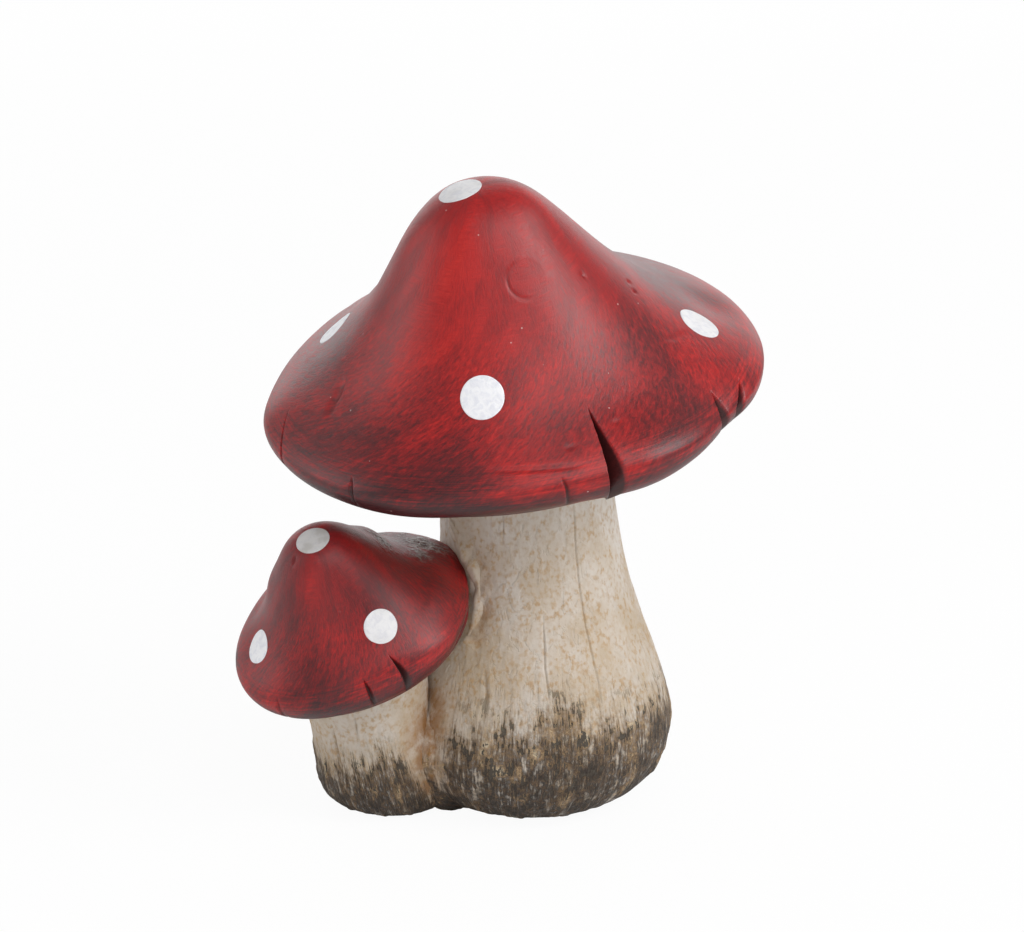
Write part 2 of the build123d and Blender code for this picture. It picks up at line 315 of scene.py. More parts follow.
small = Cap(
    name="small",
    columns=320,
    place=(-38.7, -25.0, 49.7),
    roll=15.7,
    pitch=23.4,
    radius=27.5,
    height=27.6,
    half_radius=14.9,
    steepness=3.44,
    brim_droop=4.8,
    lip_depth=5.9,
    lip_round=4.6,
    lean=(-1.3, -2.6),
    oval=2.1,
    oval_turn=25.0,
    wave=1.2,
    wave_turn=-74.0,
    neck_radius=14.3,
    spigot_radius=9.0,
    spot_radius=3.9,
    spot_seed=3,
    spots={
        "top": (0.02, 335, 0.8),
        "front": (0.664, 305.6, 0.3),
        "left": (0.764, 203.2, 0.0),
        "edge": (0.62, 140, 0.0),
        "back": (0.7, 96, 0.0),
    },
    splits=(
        (0.85, 298.4, 299.2, 2.2, 2.0),
        (0.92, 279.6, 279.6, 1.4, 1.2),
        (0.96, 232, 232, 1.4, 0.6),
        (0.82, 118, 121, 2.2, 2.0),
    ),
    presses=((354, 24, -2.4), (18, 14, -1.4)),
    lumps=((0.52, 60, 4.5, 1.2), (0.5, 172, 5.0, 0.8), (0.82, 165, 5.0, -0.6)),
    creases=((0.19, 224.2, 0.28, 228, 0.4, 0.4),),
    pits=((0.5, 283), (0.74, 258)),
    bare_seats=(),
    # The broad dark patch over the front is painted shadow of the large cap; the small dark one at the left
    # edge is painted shade
    bright=(
        (0.4, 270, 24, -0.4), (0.38, 265, 5.5, 0.4),
        (0.62, 272, 6, 0.4), (0.55, 318, 5, -0.25),
        (0.75, 350, 8, -0.25), (0.98, 255, 8, -0.4),
        (0.99, 188, 2, -1.2), (0.75, 50, 9, -0.5),
    ),
    worn=(
        (0.5, 33, 4),
        (0.7, 30, 4.5),
        (0.85, 42, 6),
        (0.86, 70, 6.5),
        (0.95, 105, 4),
    ),
)
large_column = Stem(
    cap=large,
    columns=390,
    foot=(1.7, -5.6),
    foot_radius=16.8,
    foot_opening=11.0,
    belly_radius=32.2,
    belly_height=16.5,
    taper=29.0,
    bow=2.2,
    dark_share=1.0,
    cracks=(
        (((302.5, 76), (300, 62), (299.5, 52.5), (300, 44), (301, 36.8), (301, 27.5)), 0.2, 0.28),
        (((275.5, 49), (275, 39.5), (276.5, 30.5)), 0.22, 0.3),
        (((244.5, 38), (247.5, 32.5), (247, 26)), 0.5, 0.4),
        (((254.5, 76), (253, 65)), 0.26, 0.25),
        (((342, 43), (339.5, 38.8), (342, 34)), 0.4, 0.35),
        (((70, 72), (68, 58), (71, 40), (69, 30)), 0.3, 0.42),
        (((115, 52), (117, 36)), 0.32, 0.4),
    ),
)
small_column = Stem(
    cap=small,
    columns=320,
    foot=(-30.4, -12.9),
    foot_radius=9.5,
    foot_opening=6.0,
    belly_radius=15.9,
    belly_height=5.4,
    taper=10.2,
    bow=-1.5,
    dark_share=0.62,
    cracks=(
        (((262, 30), (259, 21)), 0.35, 0.4),
        (((235, 26), (237, 12)), 0.4, 0.4),
    ),
)


# Numbers, points and grids

def lattice_noise(points, seed):
    """Smooth noise between -1 and 1 from a hashed unit lattice."""
    cell = np.floor(points).astype(np.int64)
    part = points - cell
    blend = part**3 * (part * (part * 6 - 15) + 10)
    total = np.zeros(points.shape[:-1])
    for corner in product((0, 1), repeat=3):
        key = ((cell + corner) * hash_steps).sum(-1) + seed * hash_mix
        key = (key ^ (key >> 13)) * hash_mix
        value = ((key ^ (key >> 16)) & 0xFFFF) / 0xFFFF
        total += value * np.where(corner, blend, 1 - blend).prod(-1)
    return total * 2 - 1


def rough_noise(points, size, seed, octaves):
    """Layered noise whose largest features have a size in millimetres."""
    total = np.zeros(points.shape[:-1])
    share = 0.5
    for octave in range(octaves):
        total += share * lattice_noise(points * 2**octave / size, seed + octave)
        share /= 2
    return total / (1 - 0.5**octaves)


def smooth_step(value, low, high):
    """0 below low, 1 above high, and a smooth rise between."""
    share = np.clip((value - low) / (high - low), 0, 1)
    return share * share * (3 - 2 * share)


def hump(away, spread):
    """1 at a place, falling smoothly to 0 beyond a spread."""
    return np.exp(-((away / spread) ** 2))


def turn_between(angle, other):
    """Signed turn from one angle to another, in radians, the short way round."""
    return (angle - other + np.pi) % (2 * np.pi) - np.pi


def distance_to(points, place):
    """Distance of each point from a place."""
    return np.linalg.norm(points - place, axis=-1)


def line_distance(line, points):
    """Distance from each point to the nearest point of a line."""
    return np.min([distance_to(points, place) for place in line], axis=0)


def unit(vectors):
    """Vectors of length 1."""
    return vectors / np.maximum(np.linalg.norm(vectors, axis=-1, keepdims=True), 1e-9)


def around_axis(radius, angle, height):
    """Points round the Z axis."""
    x = radius * np.cos(angle)
    return np.stack([x, radius * np.sin(angle), np.broadcast_to(height, x.shape)], -1)


def full_turn(count):
    """Even angles of one turn."""
    return np.arange(count) * 2 * np.pi / count


def resampled(values, count):
    """Values taken at a number of even places from the first to the last."""
    return np.interp(np.linspace(0, 1, count), np.linspace(0, 1, len(values)), values)


def even_steps(radius, height, values):
    """Values at even steps along an outline, and the length of outline up to each."""
    length = np.concatenate([[0], np.cumsum(np.hypot(np.diff(radius), np.diff(height)))])
    wanted = np.linspace(0, length[-1], int(length[-1] / row_step))
    return np.interp(wanted, length, values), wanted


def crowded_angles(count, crowds):
    """Angles round the axis, closer together near the given azimuths."""
    fine = np.linspace(0, 360, 7201)
    density = np.ones_like(fine)
    for azimuth, spread, extra in crowds:
        away = np.degrees(turn_between(np.radians(fine), radians(azimuth)))
        density += extra * hump(away, spread)
    total = np.concatenate([[0], np.cumsum((density[1:] + density[:-1]) / 2)])
    return np.radians(np.interp(np.arange(count) * total[-1] / count, total, fine))


def grid_normals(points):
    """Normals of a grid whose columns close on themselves and whose rows run down the outside."""
    across = np.roll(points, -1, 1) - np.roll(points, 1, 1)
    return unit(np.cross(np.gradient(points, axis=0), across))


# Caps

def cap_axes(cap):
    """Directions of a cap's own X, Y and Z, as columns."""
    pitch = radians(cap.pitch)
    roll = radians(-cap.roll)
    about_x = np.array([[1, 0, 0], [0, np.cos(pitch), -np.sin(pitch)], [0, np.sin(pitch), np.cos(pitch)]])
    about_y = np.array([[np.cos(roll), 0, np.sin(roll)], [0, 1, 0], [-np.sin(roll), 0, np.cos(roll)]])
    return about_x @ about_y


def from_cap(cap, points):
    """Points of a cap's own frame in the frame that both mushrooms share."""
    return np.array(cap.place) + points @ cap_axes(cap).T


def bell_height(cap, radius):
    """Height of the outer face at a radius from the axis."""
    bell = cap.height / (1 + (radius / cap.half_radius) ** cap.steepness)
    upright = np.sqrt(np.maximum(1 - (radius / cap.radius) ** shoulder_power, 0))
    return bell - cap.brim_droop * (1 - upright)


def cap_outline(cap, station):
    """Radius and height: station 0 at the apex, 1 at the widest, 2 under the lip."""
    turn = (np.maximum(station, 1) - 1) * np.pi / 2
    face_radius = cap.radius * np.minimum(station, 1)
    radius = face_radius - cap.lip_round * (1 - np.cos(turn))
    height = bell_height(cap, face_radius) - cap.lip_depth * np.sin(turn)
    return radius, height


def seat_height(cap):
    """Height of the flat inside the dished underside, where the stem's shoulder sits."""
    return bell_height(cap, cap.radius) - cap.lip_depth + underside_dish


def oval_swell(cap, share, angle):
    """How far the oval brim stands out from its round at a share of the radius."""
    return cap.oval * share**3 * np.cos(2 * (angle - radians(cap.oval_turn)))


def cap_point(cap, radius, height, angle, wave_share=1.0):
    """Point in the cap's frame, with the bell's lean and the brim's oval and waves."""
    share = radius / cap.radius
    reach = radius + oval_swell(cap, share, angle)
    lift = cap.wave * share**2 * np.cos(2 * (angle - radians(cap.wave_turn)))
    x = reach * np.cos(angle) + (1 - share) * cap.lean[0]
    y = reach * np.sin(angle) + (1 - share) * cap.lean[1]
    return np.stack([x, y, height + wave_share * lift], -1)


def face_point(cap, share, azimuth):
    """Point on the outer face at a share of the radius."""
    radius = share * cap.radius
    return cap_point(cap, radius, bell_height(cap, radius), np.radians(azimuth))


def on_face(cap, points):
    """Points of the outer face above or below points in the cap's frame."""
    share = np.hypot(points[..., 0], points[..., 1]) / cap.radius
    for _ in range(solver_rounds):
        x = points[..., 0] - (1 - share) * cap.lean[0]
        y = points[..., 1] - (1 - share) * cap.lean[1]
        angle = np.arctan2(y, x)
        share = np.clip((np.hypot(x, y) - oval_swell(cap, share, angle)) / cap.radius, 0, 0.999)
    radius = share * cap.radius
    return cap_point(cap, radius, bell_height(cap, radius), angle)


def split_reach(tip_share, station):
    """0 at the tip of a rim split and 1 at the lip."""
    return np.clip((np.minimum(station, 1) - tip_share) / (1 - tip_share), 0, 1)


def along_splits(splits, station, angle):
    """Angles of the grid, bent so that its columns run along the rim splits."""
    bend = np.zeros_like(angle)
    weight = np.zeros_like(angle)
    for tip_share, tip_azimuth, lip_azimuth, _, _ in splits:
        spread = radians(5 + abs(tip_azimuth - lip_azimuth))
        near = hump(turn_between(angle, radians(lip_azimuth)), spread)
        bend += near * (1 - split_reach(tip_share, station)) * radians(tip_azimuth - lip_azimuth)
        weight += near
    return angle + bend / np.maximum(weight, 1) * smooth_step(station, 0.2, 0.7)


def split_cut(split, station, radius, angle):
    """Depth of a rim split: a wedge with one steep and one slanting wall, and sunken shoulders."""
    tip_share, tip_azimuth, lip_azimuth, width, depth = split
    reach = split_reach(tip_share, station)
    centre = np.radians(tip_azimuth + reach * (lip_azimuth - tip_azimuth))
    aside = radius * turn_between(angle, centre)
    half = np.maximum(width / 2 * reach, least_split_half)
    wall_share = np.where(aside < 0, -aside / (steep_wall_share * half), aside / (slant_wall_share * half))
    under = 1 - smooth_step(station, 1.4, 1.95)
    cut = depth * reach**0.7 * np.clip(1 - wall_share, 0, 1) ** 0.85
    shoulder = split_shoulder * depth * reach * hump(aside, 2.2 * half + 0.5)
    return (cut + shoulder) * under * (reach > 0)


def crease_cut(cap, crease, station, radius, angle):
    """Depth of a crease that fades out at both ends."""
    first_share, first_azimuth, last_share, last_azimuth, width, depth = crease
    share_change = last_share - first_share
    turn = radians(last_azimuth - first_azimuth)
    if abs(turn) > share_change:
        reach = turn_between(angle, radians(first_azimuth)) / turn
        aside = cap.radius * (station - first_share - np.clip(reach, 0, 1) * share_change)
    else:
        reach = (station - first_share) / share_change
        aside = radius * turn_between(angle, radians(first_azimuth) + np.clip(reach, 0, 1) * turn)
    fade = smooth_step(reach, 0, 0.35) * (1 - smooth_step(reach, 0.6, 1))
    return depth * fade * hump(aside, width)


def seat_ring(points, centre):
    """Depth of the bare seat: a ring groove, deepest on its left, round a faintly sunken disc."""
    away = points - centre
    distance = np.linalg.norm(away, axis=-1)
    lower_left = np.array([-0.85, -0.35, -0.2])
    strength = 0.25 + 0.75 * smooth_step(unit(away) @ lower_left, -0.1, 0.75)
    groove = bare_seat_groove * strength * hump(distance - bare_seat_radius, bare_seat_width)
    return groove + bare_seat_sink * (1 - smooth_step(distance, bare_seat_radius - 1, bare_seat_radius))


def lip_press(presses, station, angle):
    """How far a hand-pressed lip stands out from its true face, or in from it."""
    reach = smooth_step(station, 0.75, 1.0) * (1 - smooth_step(station, 1.6, 2.0))
    total = np.zeros_like(angle)
    for azimuth, spread, amount in presses:
        total += amount * hump(turn_between(angle, radians(azimuth)), radians(spread))
    return reach * total


def humps(cap, places, points):
    """Sum of humps on a cap's face, each with a share, azimuth, spread and height."""
    total = np.zeros(points.shape[:-1])
    for share, azimuth, spread, height in places:
        total += height * hump(distance_to(points, face_point(cap, share, azimuth)), spread)
    return total


def worn_share(cap, points):
    """How worn the paint is, in ragged patches."""
    near = [hump(distance_to(points, face_point(cap, *place)), spread) for *place, spread in cap.worn]
    ragged = smooth_step(rough_noise(points, worn_patch_size, seeds["worn edge"], 3), -0.25, 0.25)
    return np.max(near, axis=0) * (0.35 + 0.65 * ragged)


def hand_waves(points):
    """Sink of the hand-finished face, never above the true surface."""
    broad = rough_noise(points, broad_wave_size, seeds["broad waves"], 2)
    fine = rough_noise(points, fine_wave_size, seeds["fine waves"], 3)
    return least_sink + broad_wave_depth * (broad + 1) / 2 + fine_wave_depth * (fine + 1) / 2


def spot_hollow(cap, points):
    """Depth of the seats under the spots."""
    depth = np.zeros(points.shape[:-1])
    for share, azimuth, _ in cap.spots.values():
        distance = distance_to(points, face_point(cap, share, azimuth))
        depth += 1 - smooth_step(distance, cap.spot_radius - 1.1, cap.spot_radius - 0.5)
    return spot_seat_depth * depth


def inner_rows(cap):
    """Radius, height and wave of the rows from under the lip, through the neck hole, into the dome."""
    seat = seat_height(cap)
    under = seat - underside_dish
    floor = seat + wall
    lip_edge = cap.radius - cap.lip_round
    pad = cap.neck_radius + neck_lute_width + underside_pad
    hole = cap.spigot_radius + spigot_clearance
    rows = [
        (lip_edge - underside_land, under, 0),
        (lip_edge - 2 * underside_land, under + 0.3 * underside_dish, 0),
        (pad + 0.4, seat - 0.1 * underside_dish, 0),
        (pad - 0.6, seat, 0),
        (hole, seat, 0),
        (hole, floor, 0),
    ]
    for share in dome_shares:
        radius = cap.radius * share
        slope = (bell_height(cap, radius + 0.1) - bell_height(cap, radius - 0.1)) / 0.2
        length = np.hypot(1, slope)
        inset = radius + wall * slope / length
        if share == dome_shares[0]:
            rows.append((inset, floor, 0))
        rows.append((inset, max(bell_height(cap, radius) - wall / length, floor + 0.5), 1))
    rows.append((0.0, cap.height - wall, 1))
    return rows


# Stems

def stem_radius(stem, height):
    """Radius of the outer face at a height."""
    drop = np.clip(1 - height / stem.belly_height, 0, 1)
    foot = stem.foot_radius + (stem.belly_radius - stem.foot_radius) * np.sqrt(1 - drop**2)
    rise = np.maximum(height - stem.belly_height, 0)
    neck = stem.cap.neck_radius
    column = neck + (stem.belly_radius - neck) * hump(rise, stem.taper)
    return np.where(height < stem.belly_height, foot, column)


def seat_centre(stem):
    """Middle of the seat of the stem's cap, in the shared frame."""
    return from_cap(stem.cap, np.array([0, 0, seat_height(stem.cap)]))


def stem_centre(stem, height):
    """Centre of the stem at a height, on a bowed line from the foot to the seat."""
    seat = seat_centre(stem)
    share = height / seat[2]
    x = stem.foot[0] + share * (seat[0] - stem.foot[0]) + 4 * stem.bow * share * (1 - share)
    y = stem.foot[1] + share * (seat[1] - stem.foot[1])
    return np.stack([x, y], -1)


def stem_point(stem, height, angle, grow=0.0):
    """Point on the outer face of a stem."""
    points = around_axis(stem_radius(stem, height) + grow, angle, height)
    points[..., :2] += stem_centre(stem, height)
    return points


def stem_top(stem, angle):
    """Height at which the stem's face meets the tilted seat, at each angle."""
    seat = seat_centre(stem)
    normal = cap_axes(stem.cap)[:, 2]
    height = np.full_like(angle, seat[2])
    for _ in range(solver_rounds):
        away = stem_point(stem, height, angle)[..., :2] - seat[:2]
        height = seat[2] - (away @ normal[:2]) / normal[2]
    return height


def stem_rows(stem):
    """Heights from the foot to the seat at even steps along the outline."""
    foot = stem.belly_height * (1 - np.cos(np.linspace(0, np.pi / 2, 400)))
    column = np.linspace(stem.belly_height, seat_centre(stem)[2], 1200)
    heights = np.concatenate([foot, column[1:]])
    return even_steps(stem_radius(stem, heights), heights, heights)[0]


def seat_circle(cap, radius, height, angle):
    """Circle round a cap's axis, a height above its seat."""
    return from_cap(cap, around_axis(radius, angle, seat_height(cap) + height))


def crack_cut(crack, radius, angle, height):
    """Depth of a crack down a stem, fading out at both ends, with a low burr beside it."""
    line, width, depth = crack
    azimuths, heights = np.array(line)[::-1].T
    waver = 0.06 * np.sin(height * 0.7) + 0.03 * np.sin(height * 2.3 + 1)
    aside = radius * turn_between(angle, np.radians(np.interp(height, heights, azimuths))) + waver
    starts = smooth_step(height, heights[0] - crack_overrun, heights[0] + crack_fade)
    ends = 1 - smooth_step(height, heights[-1] - crack_fade, heights[-1] + crack_overrun)
    burr = crack_burr * hump(aside - crack_burr_shift * width, width)
    return depth * starts * ends * (hump(aside, width) - burr)


def stem_relief(stem, points, angle, height):
    """Sink of a stem's face, the depth of its cracks and the height of its knots."""
    around = around_axis(stem_paint_radius, angle, height)
    belly = 0.75 * stem.belly_height
    low = 1 - smooth_step(height, belly + 4, belly + 24)
    top = seat_centre(stem)[2]
    wide = 1 - smooth_step(height, 0.4 * top, 0.8 * top)
    bark = rough_noise(around * bark_squeeze, bark_size, seeds["bark"], 3)
    lumps = rough_noise(around * knot_squeeze, knot_size, seeds["knots"], 3)
    knots = np.maximum(lumps - knot_level, 0)
    broad = rough_noise(points, stem_wave_size, seeds["stem waves"], 2)
    cut = sum(crack_cut(crack, stem_radius(stem, height), angle, height) for crack in stem.cracks)
    slack = 0.55 * wide - 0.3 + 0.2 * broad
    bark_depth = 0.11 + 0.16 * low
    knot_height = 0.24 + 0.6 * low
    sink = slack + bark_depth * bark - knot_height * knots
    return np.maximum(sink, -stem_swell) + cut, cut, knots


def push_out(points, stem, stand):
    """Moves points that lie inside a stem out to a distance from its face."""
    height = np.clip(points[..., 2], 0, None)
    centre = stem_centre(stem, height)
    away = points[..., :2] - centre
    distance = np.linalg.norm(away, axis=-1)
    reach = stem_radius(stem, height) + stand
    scale = np.where(distance < reach, reach / np.maximum(distance, 0.01), 1)
    points[..., :2] = centre + away * scale[..., None]


def keep_clear(points, outer_rows, neighbour):
    """Moves a casting out of a stem beside it, and its hollow one wall further."""
    if neighbour is not None:
        push_out(points[:outer_rows], neighbour, neighbour_gap)
        push_out(points[outer_rows:], neighbour, wall)


# Meshes

def grid_object(name, points, attributes, poles=False):
    """Mesh of a grid whose columns close; its first and last rows are poles, or its rows close too."""
    rows, columns = points.shape[:2]
    index = np.arange(rows * columns).reshape(rows, columns)
    used = np.ones(rows * columns, bool)
    upper = index[1:-2] if poles else index
    lower = index[2:-1] if poles else np.roll(index, -1, 0)
    corners = [upper, lower, np.roll(lower, -1, 1), np.roll(upper, -1, 1)]
    faces = np.stack(corners, -1).reshape(-1, 4).tolist()
    if poles:
        last_pole = (rows - 1) * columns
        used[1:columns] = False
        used[last_pole + 1:] = False
        faces += [[0, a, b] for a, b in zip(index[1], np.roll(index[1], -1))]
        faces += [[last_pole, b, a] for a, b in zip(index[-2], np.roll(index[-2], -1))]
    renumber = (np.cumsum(used) - 1).tolist()
    faces = [[renumber[corner] for corner in face] for face in faces]
    placed = (points.reshape(-1, 3)[used] + origin_move) * millimetre
    mesh = bpy.data.meshes.new(name)
    mesh.from_pydata(placed.tolist(), [], faces)
    for key, values in attributes.items():
        flat = np.asarray(values, np.float32).reshape(rows * columns, -1)[used]
        kind, field = ("FLOAT_VECTOR", "vector") if flat.shape[1] == 3 else ("FLOAT", "value")
        mesh.attributes.new(key, kind, "POINT").data.foreach_set(field, flat.ravel())
    mesh.shade_smooth()
    mesh.update()
    made = bpy.data.objects.new(name, mesh)
    bpy.context.scene.collection.objects.link(made)
    return made


def dress(piece, node, material):
    """Puts a piece in the place of its CAD node."""
    piece.data.materials.append(material)
    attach(piece, "root")
    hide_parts(node)


def with_inside(values, rows, fill=None):
    """Values of the outer rows, continued over the inner rows by a number or by the last row."""
    last = values[-1:] if fill is None else np.full_like(values[-1:], fill)
    return np.concatenate([values, np.repeat(last, rows, 0)])


def cap_piece(name, cap, neighbour=None):
    """Whole casting of a cap, with its relief and what its paint needs to know."""
    # Columns crowd round the splits: azimuth, spread and added density
    crowds = [(lip_azimuth, 2.2, 2 + 1.2 * width) for _, _, lip_azimuth, width, _ in cap.splits]
    angle = crowded_angles(cap.columns, crowds)
    fine = np.linspace(0, 2, 4001)
    station, length = even_steps(*cap_outline(cap, fine), fine)
    station_grid, angle_grid = np.meshgrid(station, angle, indexing="ij")
    angle_grid = along_splits(cap.splits, station_grid, angle_grid)
    radius, height = cap_outline(cap, station_grid)
    wave_share = 1 - smooth_step(station_grid, 1.7, 2.0)
    outer = cap_point(cap, radius, height, angle_grid, wave_share)
    normals = grid_normals(outer)
    normals[0] = np.array([0, 0, 1])
    split_depth = sum(split_cut(split, station_grid, radius, angle_grid) for split in cap.splits)
    cuts = sum(crease_cut(cap, crease, station_grid, radius, angle_grid) for crease in cap.creases)
    cuts = cuts + humps(cap, [(*pit, pit_radius, pit_depth) for pit in cap.pits], outer)
    worn = worn_share(cap, outer)
    sink = hand_waves(outer) + spot_hollow(cap, outer) + cuts
    sink = sink - lip_press(cap.presses, station_grid, angle_grid) - humps(cap, cap.lumps, outer)
    sink = sink + worn_depth * worn * rough_noise(outer, worn_relief_size, seeds["worn relief"], 4)
    cuts = cuts + split_depth
    for place in cap.bare_seats:
        ring = seat_ring(outer, face_point(cap, *place))
        sink = sink + ring
        # Painted shade in the groove, strongest where it is deepest, on the lower left
        cuts = cuts + bare_seat_shade * np.maximum(ring - bare_seat_sink, 0)
    sink = sink * (1 - smooth_step(station_grid, 1.8, 2.0))
    inward = around_axis(split_inward, angle_grid, split_downward)
    outer = outer - normals * sink[..., None] - inward * split_depth[..., None]
    inner = np.stack([cap_point(cap, reach, level, angle, wave) for reach, level, wave in inner_rows(cap)])
    points = from_cap(cap, np.concatenate([outer, inner]))
    keep_clear(points, len(outer), neighbour)
    down = np.broadcast_to(length[:, None], radius.shape)
    slant = angle_grid + down / stroke_slant
    extra = len(inner)
    attributes = {
        "station": with_inside(station_grid, extra, inside_station),
        # The paint darkens the cuts with painted shade: splits, creases, pits and the seat's groove
        "cut": with_inside(np.clip(cuts, 0, 1.5), extra, 0),
        "bright": with_inside(humps(cap, cap.bright, outer), extra, 0),
        "worn": with_inside(worn, extra, 0),
        "brush_place": with_inside(around_axis(cap_paint_radius, angle_grid, down), extra),
        "slant_place": with_inside(around_axis(cap_paint_radius, slant, down), extra),
    }
    return grid_object(name, points, attributes, poles=True)


def spot_piece(name, cap, share, azimuth, shade_and_smudge, seed):
    """White disc that lies in its seat and follows the face, with a slightly uneven edge."""
    centre = face_point(cap, share, azimuth)
    down = unit(face_point(cap, share + 0.01, azimuth) - centre)
    normal = unit(np.cross(down, face_point(cap, share, azimuth + 1) - centre))
    normal = normal * np.sign(normal[2])
    across = np.cross(normal, down)
    around = full_turn(spot_columns)
    uneven = 1 + 0.012 * np.sin(2 * around + seed) + 0.005 * np.sin(3 * around + 2 * seed)
    uneven = uneven + 0.003 * np.sin(7 * around)
    shares = np.concatenate([np.linspace(0, 1 - spot_bevel, spot_rows), [0.98, 0.995, 1.0, 1.0, 0.9, 0.0]])
    edge_stands = [0.09, 0.03, -0.06, -spot_skirt, -spot_skirt, -spot_skirt]
    stands = np.concatenate([np.full(spot_rows, spot_stand), edge_stands])
    reach = cap.spot_radius * shares[:, None] * uneven
    flat = centre + reach[..., None] * (np.cos(around)[:, None] * down + np.sin(around)[:, None] * across)
    lift = np.zeros_like(reach)
    for _ in range(spot_rounds):
        lifted = flat + normal * lift[..., None]
        laid = on_face(cap, lifted)
        lift += (laid - lifted)[..., 2] * normal[2]
    stand = stands[:, None] - hand_waves(laid) + humps(cap, cap.lumps, laid)
    attributes = {
        "spot_share": np.broadcast_to(shares[:, None], reach.shape),
        "shade_and_smudge": np.full_like(reach, shade_and_smudge),
    }
    return grid_object(name, from_cap(cap, laid + normal * stand[..., None]), attributes, poles=True)


def stem_piece(name, stem, stain_and_shade_lines, ridge_lines, neighbour=None):
    """Whole casting of a stem: its face, shoulder, spigot, hollow and open foot."""
    # Columns crowd round the cracks: azimuth, spread and added density
    crowds = [(np.mean([azimuth for azimuth, _ in line]), 4, 4) for line, _, _ in stem.cracks]
    angle = crowded_angles(stem.columns, crowds)
    height_grid, angle_grid = np.meshgrid(stem_rows(stem), angle, indexing="ij")
    top = seat_centre(stem)[2]
    # Rows above half height are stretched to meet the tilted seat
    steady = 0.5 * top
    stretch = (stem_top(stem, angle) - steady) / (top - steady)
    above = np.maximum(height_grid - steady, 0)
    height_grid = np.minimum(height_grid, steady) + above * stretch
    outer = stem_point(stem, height_grid, angle_grid)
    normals = -grid_normals(outer)
    sink, cut, knots = stem_relief(stem, outer, angle_grid, height_grid)
    sink = sink * smooth_step(height_grid, 0, 1.5)
    for line in ridge_lines:
        lumpy = 0.7 + rough_noise(outer, slip_ridge_lump_size, seeds["slip ridge"], 3)
        sink = sink - slip_ridge_stand * lumpy * hump(line_distance(line, outer), slip_ridge_spread)
    outer = outer - normals * sink[..., None]
    outer[..., 2] = np.maximum(outer[..., 2], 0)
    spigot = stem.cap.spigot_radius
    bore = spigot - spigot_wall
    neck = stem.cap.neck_radius - wall
    stand = wall + spigot_stand
    profile = ((spigot, 0), (spigot, stand), (bore, stand), (bore, -wall), (neck, -wall))
    inner = [seat_circle(stem.cap, radius, height, angle) for radius, height in profile]
    for height in np.linspace(0.72 * top, wall + 1, hollow_rows):
        inner.append(stem_point(stem, np.full_like(angle, height), angle, -wall - 0.4))
    for height in (wall, 0):
        inner.append(around_axis(stem.foot_opening, angle, height) + np.array([*stem.foot, 0]))
    points = np.concatenate([outer, np.stack(inner)])
    keep_clear(points, len(outer), neighbour)
    # Brown stain and painted shade along the slip and the valleys between the stems
    stain_and_shade = np.max([hump(line_distance(line, outer), spread) for line, spread in stain_and_shade_lines], axis=0)
    extra = len(inner)
    attributes = {
        "stain_and_shade": with_inside(stain_and_shade, extra, 0),
        # The paint darkens the cracks with painted shade
        "cut": with_inside(np.clip(cut, -0.3, 1.0), extra, 0),
        "knots": with_inside(knots, extra, 0),
        "round_place": with_inside(around_axis(stem_paint_radius, angle_grid, height_grid), extra),
        "height": with_inside(height_grid / stem.dark_share, extra, inside_height),
    }
    return grid_object(name, points, attributes)


def slip_attributes(points, angle, lumps, stain_and_shade):
    """What the clay paint needs to know, for a roll of slip."""
    height = np.maximum(points[..., 2], 0)
    return {
        "stain_and_shade": stain_and_shade,
        "cut": np.zeros_like(lumps),
        "knots": np.maximum(lumps - knot_level, 0),
        "round_place": around_axis(stem_paint_radius, angle, height),
        "height": height,
    }


def tube_piece(name, centres, radii, lump, seed, stain_and_shade):
    """Lumpy roll of slip along a line, closed at both ends."""
    line = np.stack([resampled(places, tube_rows) for places in centres.T], -1)
    radius = resampled(radii, tube_rows)
    along = unit(np.gradient(line, axis=0))
    side = unit(np.cross(along, np.array([0.13, 0.21, 0.97])))
    other = np.cross(along, side)
    around = full_turn(tube_columns)[None, :, None]
    ring = np.cos(around) * side[:, None] + np.sin(around) * other[:, None]
    points = line[:, None] + ring * radius[:, None, None]
    lumps = rough_noise(points, slip_lump_size, seed, 3)
    points = points + ring * (lump * (lumps - 0.6))[..., None] * np.minimum(radius, 2)[:, None, None] / 2
    points[0] = line[0]
    points[-1] = line[-1]
    points[..., 2] = np.maximum(points[..., 2], 0)
    away = points[..., :2] - stem_centre(large_column, points[..., 2])
    angle = np.arctan2(away[..., 1], away[..., 0])
    # Stain and painted shade settle in the hollows between the lumps
    attributes = slip_attributes(points, angle, lumps, np.clip(stain_and_shade - 0.8 * lumps, 0, 1))
    return grid_object(name, points, attributes, poles=True)


def neck_ring(name, cap):
    """Fillet of slip round the neck, under the cap."""
    angle = full_turn(neck_columns)
    neck = cap.neck_radius
    outer = neck + neck_lute_width
    profile = (
        (outer - 0.1, -0.05),
        (outer - 0.6, -0.9),
        (neck + 1.0, -2.0),
        (neck + 0.1, -3.4),
        (neck - 0.6, -neck_lute_height),
        (neck - 1.5, -neck_lute_height),
        (neck - 1.5, -0.05),
    )
    points = np.stack([seat_circle(cap, radius, height, angle) for radius, height in profile])
    lumps = rough_noise(points, slip_lump_size, seeds["neck slip"], 2)
    around = np.broadcast_to(angle, lumps.shape)
    # The slip carries a little brown stain and painted shade under the cap
    return grid_object(name, points, slip_attributes(points, around, lumps, np.full_like(lumps, 0.15)))


